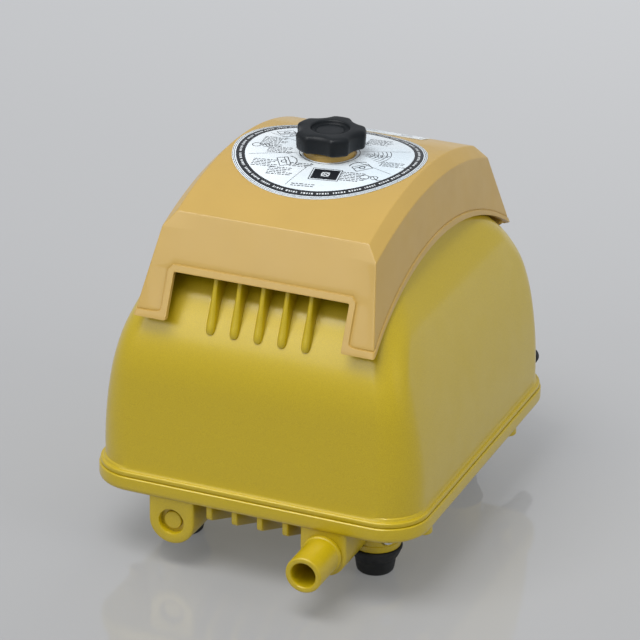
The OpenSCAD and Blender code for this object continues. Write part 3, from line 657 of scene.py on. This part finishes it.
def patch(rows, skip=lambda r, c: False, raised=lambda r, c: False):
    """Quads over a grid of points, as (corner points, is part of the raised lip)."""
    return [
        ((rows[r][c], rows[r][c + 1], rows[r + 1][c + 1], rows[r + 1][c]), raised(r, c))
        for r in range(len(rows) - 1)
        for c in range(len(rows[0]) - 1)
        if not skip(r, c)
    ]


def cover_quads():
    """One quarter of the cover's outer skin."""
    stations = [1, 0.988, 0.93, 0.82, 0.7, 0.56, 0.42, 0.28, 0.14, 0]
    band = [0, 0.1, 0.9, 1]
    drop = BEVEL.z - LEG.z
    open_level = (BEVEL.z - OPENING_Z) / drop
    lip, tight = LIP / drop, TIGHT / drop
    levels = [0, 0.02, 0.18, open_level - lip, open_level - tight, open_level, open_level + tight]
    levels += [0.7, 1 - (LIP + TIGHT) / drop, 1 - lip, 1]
    lip_row, open_row, open_column, lip_column = 3, 5, 5, 7
    top, bevels, sides = [], [], []
    for s in stations:
        crest = arc_height(s * CREASE.y, CREASE.y, COVER_TOP_Z, CREASE.z)
        a = Vector((CREASE.x, -s * CREASE.y, crest))
        b = Vector((BEVEL.x, -s * BEVEL.y, arc_height(s * BEVEL.y, BEVEL.y, BEVEL_TOP_Z, BEVEL.z)))
        edge_z = arc_height(s * LEG.y, LEG.y, SIDE_TOP_Z, LEG.z)
        lean = (b.z - edge_z) / (b.z - LEG.z)
        c = Vector((BEVEL.x + (LEG.x - BEVEL.x) * lean, -s * LEG.y, edge_z))
        top.append([(x, a.y, crest) for x in columns(CREASE.x)])
        bevels.append([tuple(a.lerp(b, g)) for g in band])
        keep = (1 - LIP / (b.z - c.z)) / levels[-2]
        sides.append([tuple(b.lerp(c, f * keep if f < 1 else 1)) for f in levels])
    brow, panel = [], []
    for g in band:
        edge = CREASE.x + (BEVEL.x - CREASE.x) * g
        brow.append([panel_point(CREASE.z + (BEVEL.z - CREASE.z) * g, edge, x) for x in columns(edge)])
    for f in levels:
        edge = BEVEL.x + (LEG.x - BEVEL.x) * f
        row = [panel_point(BEVEL.z - drop * f, edge, x) for x in columns(edge)]
        if f == levels[lip_row]:
            x, y, z = row[lip_column]
            row[lip_column] = (x - 1.3, y - 0.6, z - 1.3)
        panel.append(row)
    return (
        patch(top)
        + patch(bevels)
        + patch(sides, raised=lambda r, c: c == len(levels) - 2)
        + patch(brow)
        + patch(
            panel,
            skip=lambda r, c: r >= open_row and c < open_column,
            raised=lambda r, c: (lip_row <= r < open_row and c < lip_column)
            or (r >= open_row and c < lip_column)
            or (r == len(levels) - 2 and c >= open_column),
        )
    )


def cover_cage():
    """The cover's outer skin as a coarse cage of quads, with its lips raised inside fine grooves."""
    mesh = bpy.data.meshes.new("cover_shell")
    work = bmesh.new()
    lip_layer = work.faces.layers.int.new("lip")
    for sx, sy in corners():
        for quad, is_lip in cover_quads():
            ring = [work.verts.new(Vector((sx * x, sy * y, z)) * MM) for x, y, z in quad]
            face = work.faces.new(ring if sx * sy > 0 else ring[::-1])
            face[lip_layer] = int(is_lip)
    bmesh.ops.remove_doubles(work, verts=work.verts, dist=0.01 * MM)
    bmesh.ops.recalc_face_normals(work, faces=work.faces)
    if max(work.faces, key=lambda f: f.calc_center_median().z).normal.z < 0:
        bmesh.ops.reverse_faces(work, faces=work.faces)
    lips = [f for f in work.faces if f[lip_layer]]
    crease = work.edges.layers.float.new("crease_edge")
    for thickness, depth, sharpness in ((0.3, -0.45, 0.3), (0.4, 0.95, 0.9)):
        bmesh.ops.inset_region(
            work, faces=lips, use_boundary=False, thickness=thickness * MM, depth=depth * MM
        )
        inside = set(lips)
        for face in lips:
            for edge in face.edges:
                if any(f not in inside for f in edge.link_faces):
                    edge[crease] = sharpness
    work.to_mesh(mesh)
    work.free()
    cage = bpy.data.objects.new("cover_shell", mesh)
    bpy.context.scene.collection.objects.link(cage)
    return cage


def top_cover():
    """Smooth moulded saddle with a collar under the knob and a hole for the stud."""
    cover = cover_cage()
    thick = cover.modifiers.new("thick", "SOLIDIFY")
    thick.thickness, thick.offset, thick.use_even_offset = WALL * MM, -1, True
    thick.edge_crease_inner = thick.edge_crease_outer = 0.75
    smooth = cover.modifiers.new("smooth", "SUBSURF")
    smooth.levels = smooth.render_levels = 2
    bake(cover)
    for vertex in cover.data.vertices:
        vertex.co.z = max(vertex.co.z, LEG.z * MM)
    bead = fillet(11.75, COLLAR_TOP_Z, 1.5, steps=8)
    collar = [(3.4, 178), (9.5, 178), (9.5, 183), (12.2, 183), (12.2, 184.2), (11.85, 184.9)] + bead
    combine(cover, lathe("collar", collar + [(3.4, COLLAR_TOP_Z), (3.4, 178)]), "UNION")
    combine(cover, lathe("stud_hole", [(3.4, 170), (3.4, 190)], sides=48), "DIFFERENCE")
    return dress(cover, "tan_plastic", "cover", "top_cover", sharp=40)


# ---------------------------------------------------------------- knob
def star(angle, shrink):
    """Radius of the five-lobed outline at an angle, with soft shoulders between lobe and hollow."""
    lobe_r, valley_r, hollow_r = 17.2 - shrink, 14.6 - shrink, 12 + shrink
    turn = math.radians(72)
    phi = (angle - math.radians(56) + turn / 2) % turn - turn / 2
    centre = valley_r + hollow_r
    inside = hollow_r**2 - (centre * math.sin(phi)) ** 2
    hollow = centre * math.cos(phi) - math.sqrt(inside) if inside > 0 else lobe_r + 4
    soft = 0.35
    return -soft * math.log(math.exp(-hollow / soft) + math.exp(-lobe_r / soft)) + 0.05


def knob():
    height = KNOB_TOP_Z - KNOB_Z
    sides = 200
    angles = [2 * math.pi * i / sides for i in range(sides)]
    rings = []

    def circle(r, h):
        rings.append([(r * math.cos(a), r * math.sin(a), KNOB_Z + h) for a in angles])

    def outline(shrink, h):
        radii = [star(a, shrink) for a in angles]
        rings.append([(r * math.cos(a), r * math.sin(a), KNOB_Z + h) for r, a in zip(radii, angles)])

    circle(5, 6.5)
    circle(5, 0)
    for shrink, h in [(1.6, 0), (0.9, 0.25), (0.45, 0.8), (0.3, 1.6), (0.05, height - 2.6)]:
        outline(shrink, h)
    for shrink, h in [(0.1, 1.9), (0.35, 1.25), (0.8, 0.7), (1.5, 0.3), (2.4, 0.1), (3.2, 0.04)]:
        outline(shrink, height - h)
    for r, h in [(10.6, 0), (10.1, 0.02), (9.7, 0.15), (9.4, 0.45), (9.3, 0.8), (9.1, 1.8), (8.8, 2.0)]:
        circle(r, height - h)
    for r, h in [(7.1, 2.0), (6.8, 1.85), (6.6, 1.6), (6.2, 1.5), (3, 1.45)]:
        circle(r, height - h)
    return dress(build("star_knob", *loft(rings)), "black_plastic", "knob", "knob", sharp=50)


# ---------------------------------------------------------------- print on the labels
LABEL_LIFT = 0.36  # height of the marks over the cover, just clear of the label film


def on_arch(x, y, lift):
    """Label coordinates laid on the arch of the cover."""
    return (x, y, arc_height(y, CREASE.y, COVER_TOP_Z, CREASE.z) + lift)


class Print:
    """Flat marks in label coordinates, laid on the arch of the cover."""

    def __init__(self, name, ink, lift=LABEL_LIFT):
        self.name, self.ink, self.lift = name, ink, lift
        self.points, self.faces = [], []

    def strip(self, left, right):
        start = len(self.points)
        for a, b in zip(left, right):
            self.points += [on_arch(*a, self.lift), on_arch(*b, self.lift)]
        for i in range(len(left) - 1):
            k = start + 2 * i
            self.faces.append((k, k + 2, k + 3, k + 1))

    def ring(self, x, y, inner, outer, start=0, end=360):
        count = max(4, int((end - start) / 4))
        angles = [math.radians(start + (end - start) * i / count) for i in range(count + 1)]
        self.strip(
            [(x + inner * math.cos(a), y + inner * math.sin(a)) for a in angles],
            [(x + outer * math.cos(a), y + outer * math.sin(a)) for a in angles],
        )

    def line(self, *path, width=0.35):
        for a, b in zip(path, path[1:]):
            a, b = Vector(a), Vector(b)
            across = (b - a).normalized().orthogonal() * width / 2
            cuts = max(1, math.ceil((b - a).length / 3))
            spine = [a.lerp(b, i / cuts) for i in range(cuts + 1)]
            self.strip([tuple(p - across) for p in spine], [tuple(p + across) for p in spine])

    def shape(self, x, y, turn, *path, width=0.35):
        """A line drawing about a point, turned by that many degrees."""
        spin = Matrix.Rotation(math.radians(turn), 2)
        self.line(*[tuple(spin @ Vector(p) + Vector((x, y))) for p in path], width=width)

    def words(self, x, y, turn, rows, reach=5.6):
        """Lines of short plain bars that stand in for small print, centred on a point."""
        for row in range(rows):
            height = 1.55 * ((rows - 1) / 2 - row)
            along, step = -reach, row * 3
            while along < reach - row % 3:
                word = (1.7, 1.0, 2.2, 1.3, 0.8)[step % 5]
                self.shape(x, y, turn, (along, height), (along + word, height), width=0.62)
                along += word + 0.5
                step += 1

    def finish(self):
        piece = build(self.name, self.points, self.faces)
        down = [p for p in piece.data.polygons if p.normal.z < 0]
        if len(down) > len(piece.data.polygons) / 2:
            piece.data.flip_normals()
        dress(piece, "label_film", "cover", sharp=60)
        piece.data.materials[0] = self.ink
        return piece


def polar(radius, degrees):
    return radius * math.cos(math.radians(degrees)), radius * math.sin(math.radians(degrees))


def box_path(w, h):
    return [(-w, -h), (w, -h), (w, h), (-w, h), (-w, -h)]


PLATE = polar(25, -72)  # centre of the dark plate, drawn in ink with pale marks on it


def label_marks():
    """Ring band, plain bars in place of print, and simple service drawings; no lettering."""
    ink = Print("label_marks", INK)
    ink.ring(0, 0, LABEL_R - 6.2, LABEL_R - 1.9)
    ink.ring(0, 0, LABEL_R - 1.35, LABEL_R - 1.05)
    ink.ring(0, 0, LABEL_R - 0.55, LABEL_R - 0.3)
    ink.ring(0, 0, 14.2, 14.6)
    for turn in (-100, -20, 28, 92, 160, 205):
        ink.line(polar(15.5, turn), polar(38.5, turn), width=0.25)
    ink.shape(*PLATE, 8, (0, -4.6), (0, 4.6), width=12.5)
    ink.shape(*PLATE, 8, *box_path(7.0, 5.4), width=0.4)
    paragraphs = [(-118, 31, 5), (-47, 30, 6), (-5, 33, 4), (12, 23, 3), (60, 30, 7), (112, 30, 6)]
    paragraphs += [(142, 27, 4), (176, 30, 8), (196, 24, 5), (222, 33, 5), (-88, 36, 2), (250, 20, 3)]
    for angle, radius, rows in paragraphs:
        ink.words(*polar(radius, angle), 8, rows)
    x, y = polar(19, 14)
    for r in (6, 8, 10, 12, 14):
        ink.ring(x - 4, y, r, r + 0.35, -35, 40)
    for angle, radius in ((-28, 24), (-132, 24), (150, 34)):
        x, y = polar(radius, angle)
        ink.shape(x, y, angle + 75, *box_path(4.2, 2.6), width=0.4)
        ink.shape(x, y, angle + 75, (-4.2, 0.9), (4.2, 0.9))
        ink.ring(x, y, 6.0, 6.5, angle + 120, angle + 215)
        ink.ring(x, y, 1.0, 1.5)
    for angle, radius in ((-38, 33), (75, 20), (188, 36)):
        x, y = polar(radius, angle)
        ink.ring(x, y, 1.9, 2.3)
        ink.ring(x + 4.6, y + 0.8, 1.5, 1.9)
        ink.line((x + 1.6, y + 1.2), (x + 3.6, y + 1.7), (x + 6.6, y - 1.2), (x + 8.6, y - 0.4), width=0.4)
    ink.finish()


def label_pale_marks():
    """Short dashes along the dark band, and a crossed ring on the dark plate."""
    pale = Print("label_band_marks", PALE_INK, LABEL_LIFT + 0.04)
    widths = (1.1, 0.7, 1.3, 0.9, 0.6, 1.2, 0.8)
    angle, step = 0.0, 0
    while angle < 357:
        width = widths[step % len(widths)]
        if step % 6 != 5:
            pale.ring(0, 0, LABEL_R - 4.6, LABEL_R - 3.5, angle, angle + width)
        angle += width + 0.75
        step += 1
    pale.ring(*PLATE, 1.5, 2.1)
    pale.shape(*PLATE, 53, (-2.6, 0), (2.6, 0), width=0.5)
    pale.shape(*PLATE, 143, (-2.6, 0), (2.6, 0), width=0.5)
    pale.finish()


def rear_label_marks():
    """Frame, four plain bars and a struck ring on the small label at the rear."""
    rear = Print("rear_label_marks", INK)
    x0, y0 = -high("rear_label")[0] + 3, (low("rear_label")[1] + high("rear_label")[1]) / 2
    rear.shape(0, y0, 0, *box_path(25.4, 5.0), width=0.3)
    for y, end in ((2.6, 24), (0.6, 31), (-1.4, 27), (-3.2, 18)):
        rear.line((x0 + 2, y0 + y), (x0 + end, y0 + y), width=0.45)
    rear.ring(17, y0, 2.3, 2.8)
    rear.shape(17, y0, 45, (-2.3, 0), (2.3, 0), width=0.5)
    rear.finish()


# ---------------------------------------------------------------- CAD nodes that stay
# bevel width of the CAD nodes' edges in mm by slot; the rest get PLAIN_ROUNDING
PLAIN_ROUNDING = 0.25
ROUNDING = {"zinc_steel": 0.15, "black_rubber": 0.2, "label_film": 0.0, "lead_insulation": 0.0}


def keep_cad_nodes():
    """New material on every CAD node that still shows, and softened edges."""
    for node in record_nodes.values():
        slots = [s.material.name.split(".")[0] for s in node.material_slots]
        for index, name in enumerate(slots):
            node.material_slots[index].material = SLOTS[name]
        width = ROUNDING.get(slots[0], PLAIN_ROUNDING)
        if node.hide_render or not width:
            continue
        weld = node.modifiers.new("weld", "WELD")
        weld.merge_threshold = 0.002 * MM
        bevel = node.modifiers.new("round", "BEVEL")
        bevel.width, bevel.segments = width * MM, 2
        bevel.limit_method, bevel.angle_limit = "ANGLE", math.radians(40)
        normals = node.modifiers.new("normals", "WEIGHTED_NORMAL")
        normals.keep_sharp = False


# ---------------------------------------------------------------- floor, light and camera
def stage_floor():
    """Pale polished floor with a painted glow that grows towards the back: painted light, which also lights
    the pump's underside.
    """
    size = 12
    plane = [(-size, -size, 0), (size, -size, 0), (size, size, 0), (-size, size, 0)]
    mesh = bpy.data.meshes.new("floor")
    mesh.from_pydata(plane, [], [(0, 1, 2, 3)])
    floor = bpy.data.objects.new("floor", mesh)
    bpy.context.scene.collection.objects.link(floor)
    s = Shader("floor", (0.29, 0.29, 0.293), 0.06, Specular_IOR_Level=0.75)
    # painted light: the floor glows, more towards the back, and this glow also lights the pump from below
    s.set(Emission_Color=(0.96, 0.98, 1.0, 1))
    depth = s.add("ShaderNodeSeparateXYZ")
    s.link(s.place, depth.inputs["Vector"])
    s.link(s.spread(depth.outputs["Y"], 0.05, 0.38, -0.4, 1.3), s.bsdf.inputs["Emission Strength"])
    s.rough(s.noise(3, 2), 0.05, 0.08)
    mesh.materials.append(s.material)


def softbox(name, place, aim, width, height, watts, glossy=True):
    """Rectangular area light. One that isn't glossy shows in no reflection."""
    light = bpy.data.lights.new(name, "AREA")
    light.shape, light.size, light.size_y = "RECTANGLE", width, height
    light.energy = watts
    lamp = bpy.data.objects.new(name, light)
    bpy.context.scene.collection.objects.link(lamp)
    lamp.location, lamp.visible_glossy = place, glossy
    lamp.rotation_euler = (Vector(aim) - Vector(place)).to_track_quat("-Z", "Y").to_euler()


def lighting():
    """Even grey world, a little lighter above, and four softboxes."""
    world = bpy.data.worlds.new("studio")
    bpy.context.scene.world = world
    world.use_nodes = True
    nodes, links = world.node_tree.nodes, world.node_tree.links
    nodes["Background"].inputs["Color"].default_value = (0.80, 0.82, 0.86, 1)
    side = nodes.new("ShaderNodeSeparateXYZ")
    links.new(nodes.new("ShaderNodeTexCoord").outputs["Generated"], side.inputs["Vector"])
    fade = nodes.new("ShaderNodeMapRange")
    fade.inputs["To Min"].default_value, fade.inputs["To Max"].default_value = 0.52, 0.62
    links.new(side.outputs["Z"], fade.inputs["Value"])
    links.new(fade.outputs["Result"], nodes["Background"].inputs["Strength"])
    softbox("key_light", (-0.2, -0.6, 1.5), (0, 0, 0.1), 1.1, 0.7, 16.5)
    softbox("side_light", (2.1, -0.35, 0.9), (0, 0, 0.1), 1.1, 1.1, 14, glossy=False)
    softbox("front_light", (-0.6, -1.35, 1.0), (0, 0, 0.1), 1.3, 0.7, 6)
    softbox("back_light", (0.1, 1.2, 0.9), (0, 0, 0.15), 0.9, 0.5, 3.5, glossy=False)


def camera():
    """Long lens that looks at the pump from the front right and above."""
    azimuth, elevation, roll = math.radians(22.55), math.radians(24.12), math.radians(0.88)
    distance, aim_height = 1.6365, 0.1
    slide_right, slide_up = -0.00347, -0.00225
    back = Vector(
        (
            math.sin(azimuth) * math.cos(elevation),
            -math.cos(azimuth) * math.cos(elevation),
            math.sin(elevation),
        )
    )
    right = Vector((math.cos(azimuth), math.sin(azimuth), 0))
    up = back.cross(right)
    place = Vector((0, 0, aim_height)) + back * distance + right * slide_right + up * slide_up
    rolled_right = right * math.cos(roll) + up * math.sin(roll)
    rolled_up = up * math.cos(roll) - right * math.sin(roll)
    data = bpy.data.cameras.new("camera")
    data.sensor_width, data.lens = 36, 189.96
    data.clip_start, data.clip_end = 0.05, 50
    eye = bpy.data.objects.new("camera", data)
    bpy.context.scene.collection.objects.link(eye)
    turn = Matrix((rolled_right, rolled_up, back)).transposed()
    eye.matrix_world = Matrix.Translation(place) @ turn.to_4x4()
    bpy.context.scene.camera = eye


# ---------------------------------------------------------------- the scene
bpy.context.scene.view_settings.view_transform = "Standard"
camera()
stage_floor()
lighting()
housing()
base_tray()
nozzle()
feet()
top_cover()
knob()
label_marks()
label_pale_marks()
rear_label_marks()
keep_cad_nodes()
